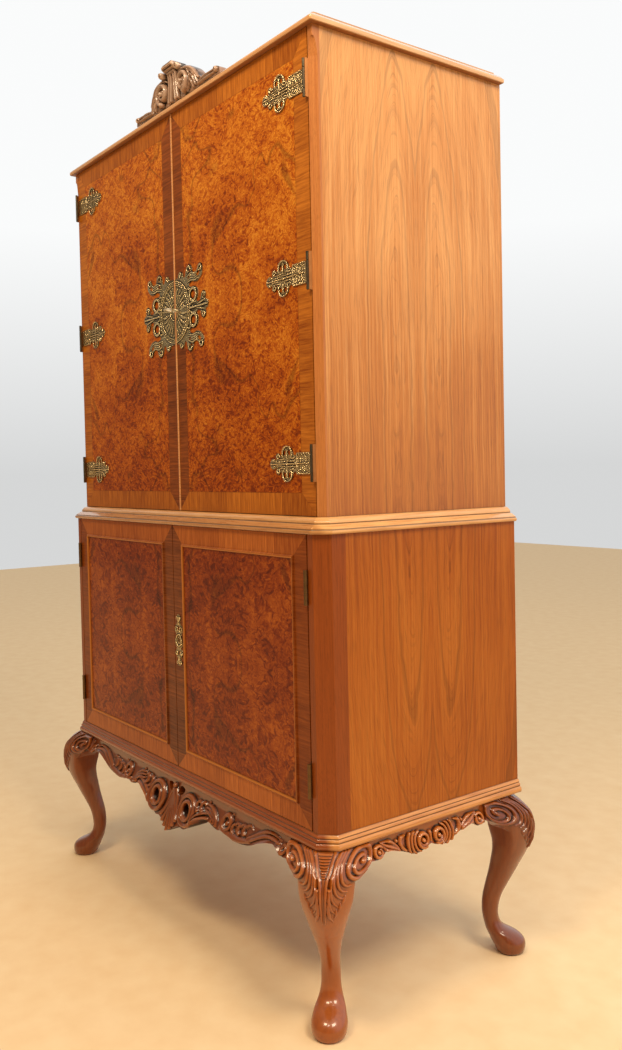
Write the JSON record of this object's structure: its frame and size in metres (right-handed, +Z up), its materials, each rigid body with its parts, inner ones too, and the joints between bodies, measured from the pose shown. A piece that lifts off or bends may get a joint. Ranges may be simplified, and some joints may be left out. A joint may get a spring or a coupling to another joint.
{
  "type": "bar cabinet",
  "caption": "Two-stage walnut bar cabinet on a carved cabriole stand, with tall upper doors on pierced brass strap hinges, lower doors, a working lock and a mirrored inside.",
  "frame": {"origin": "centre of the bounding box on the floor", "axes": "+Z up, -Y towards the doors, +X to the right seen from the front"},
  "size_m": [0.9632, 0.4776, 1.6053],
  "materials": {
    "carved_walnut": "dark reddish polished carving",
    "walnut_veneer": "French polished burr and straight-grained walnut veneer",
    "inner_walnut": "plain polished walnut",
    "moulded_walnut": "polished cross-grain walnut moulding",
    "antique_brass": "aged engraved brass",
    "dark_brass": "dark aged brass",
    "polished_steel": "worn bright steel",
    "clear_glass": "clear polished plate",
    "mirror": "silvered glass"
  },
  "bodies": {
    "cabinet": {"apron_front": "carved_walnut", "apron_left": "carved_walnut", "apron_right": "carved_walnut", "base_board": "moulded_walnut", "cornice": "moulded_walnut", "crest": "carved_walnut", "glass_shelf": "clear_glass", "leg_back_left": "carved_walnut", "leg_back_right": "carved_walnut", "leg_front_left": "carved_walnut", "leg_front_right": "carved_walnut", "lower_back": "inner_walnut", "lower_hinge_left_high_frame_leaf": "dark_brass", "lower_hinge_left_low_frame_leaf": "dark_brass", "lower_hinge_right_high_frame_leaf": "dark_brass", "lower_hinge_right_low_frame_leaf": "dark_brass", "lower_shelf": "inner_walnut", "lower_side_left": "walnut_veneer", "lower_side_right": "walnut_veneer", "mirror": "mirror", "rail_back": "carved_walnut", "upper_back": "inner_walnut", "upper_floor": "inner_walnut", "upper_hinge_left_high_leaf": "antique_brass", "upper_hinge_left_low_leaf": "antique_brass", "upper_hinge_left_middle_leaf": "antique_brass", "upper_hinge_right_high_leaf": "antique_brass", "upper_hinge_right_low_leaf": "antique_brass", "upper_hinge_right_middle_leaf": "antique_brass", "upper_side_left": "walnut_veneer", "upper_side_right": "walnut_veneer", "upper_top": "inner_walnut", "waist_board": "moulded_walnut"},
    "upper_door_left": {"upper_door_left": "walnut_veneer", "upper_hinge_left_low_strap": "antique_brass", "upper_hinge_left_middle_strap": "antique_brass", "upper_hinge_left_high_strap": "antique_brass", "lock_plate_left": "antique_brass", "lock_keep": "antique_brass"},
    "upper_door_right": {"upper_door_right": "walnut_veneer", "upper_hinge_right_low_strap": "antique_brass", "upper_hinge_right_middle_strap": "antique_brass", "upper_hinge_right_high_strap": "antique_brass", "lock_plate_right": "antique_brass", "meeting_bead": "walnut_veneer", "lock_case": "antique_brass"},
    "lower_door_left": {"lower_door_left": "walnut_veneer", "lower_hinge_left_low_door_leaf": "dark_brass", "lower_hinge_left_high_door_leaf": "dark_brass"},
    "lower_door_right": {"lower_door_right": "walnut_veneer", "lower_hinge_right_low_door_leaf": "dark_brass", "lower_hinge_right_high_door_leaf": "dark_brass", "escutcheon_lower": "antique_brass", "lower_lock_case": "antique_brass"},
    "key": {"key": "polished_steel"},
    "lock_bolt": {"lock_bolt": "polished_steel"},
    "lower_lock_bolt": {"lower_lock_bolt": "polished_steel"},
    "upper_bolt_top": {"upper_bolt_top": "antique_brass"},
    "upper_bolt_bottom": {"upper_bolt_bottom": "antique_brass"},
    "lower_bolt_top": {"lower_bolt_top": "antique_brass"}
  },
  "joints": [
    {"name": "upper_door_left_hinge", "type": "hinge", "parent": "cabinet", "child": "upper_door_left", "pos_m": [-0.4183, -0.19074, 1.148], "axis": [0, 0, -1], "range_deg": [0, 170]},
    {"name": "upper_door_right_hinge", "type": "hinge", "parent": "cabinet", "child": "upper_door_right", "pos_m": [0.4183, -0.19074, 1.148], "axis": [0, 0, 1], "range_deg": [0, 170]},
    {"name": "lower_door_left_hinge", "type": "hinge", "parent": "cabinet", "child": "lower_door_left", "pos_m": [-0.41795, -0.20644, 0.5427], "axis": [0, 0, -1], "range_deg": [0, 170]},
    {"name": "lower_door_right_hinge", "type": "hinge", "parent": "cabinet", "child": "lower_door_right", "pos_m": [0.41795, -0.20644, 0.5427], "axis": [0, 0, 1], "range_deg": [0, 170]},
    {"name": "key_turn", "type": "hinge", "parent": "upper_door_right", "child": "key", "pos_m": [0.017, -0.18514, 1.148], "axis": [0, 1, 0], "range_deg": [0, 90]},
    {"name": "lock_bolt_slide", "type": "slide", "parent": "upper_door_right", "child": "lock_bolt", "axis": [-1, 0, 0], "range_m": [0, 0.008]},
    {"name": "lower_lock_bolt_slide", "type": "slide", "parent": "lower_door_right", "child": "lower_lock_bolt", "axis": [-1, 0, 0], "range_m": [0, 0.008]},
    {"name": "upper_bolt_top_slide", "type": "slide", "parent": "upper_door_left", "child": "upper_bolt_top", "axis": [0, 0, 1], "range_m": [0, 0.008]},
    {"name": "upper_bolt_bottom_slide", "type": "slide", "parent": "upper_door_left", "child": "upper_bolt_bottom", "axis": [0, 0, -1], "range_m": [0, 0.008]},
    {"name": "lower_bolt_top_slide", "type": "slide", "parent": "lower_door_left", "child": "lower_bolt_top", "axis": [0, 0, 1], "range_m": [0, 0.008]}
  ],
  "couplings": [
    {"joint": "key_turn", "follows": "lock_bolt_slide", "rad_per_m": 196.35}
  ]
}
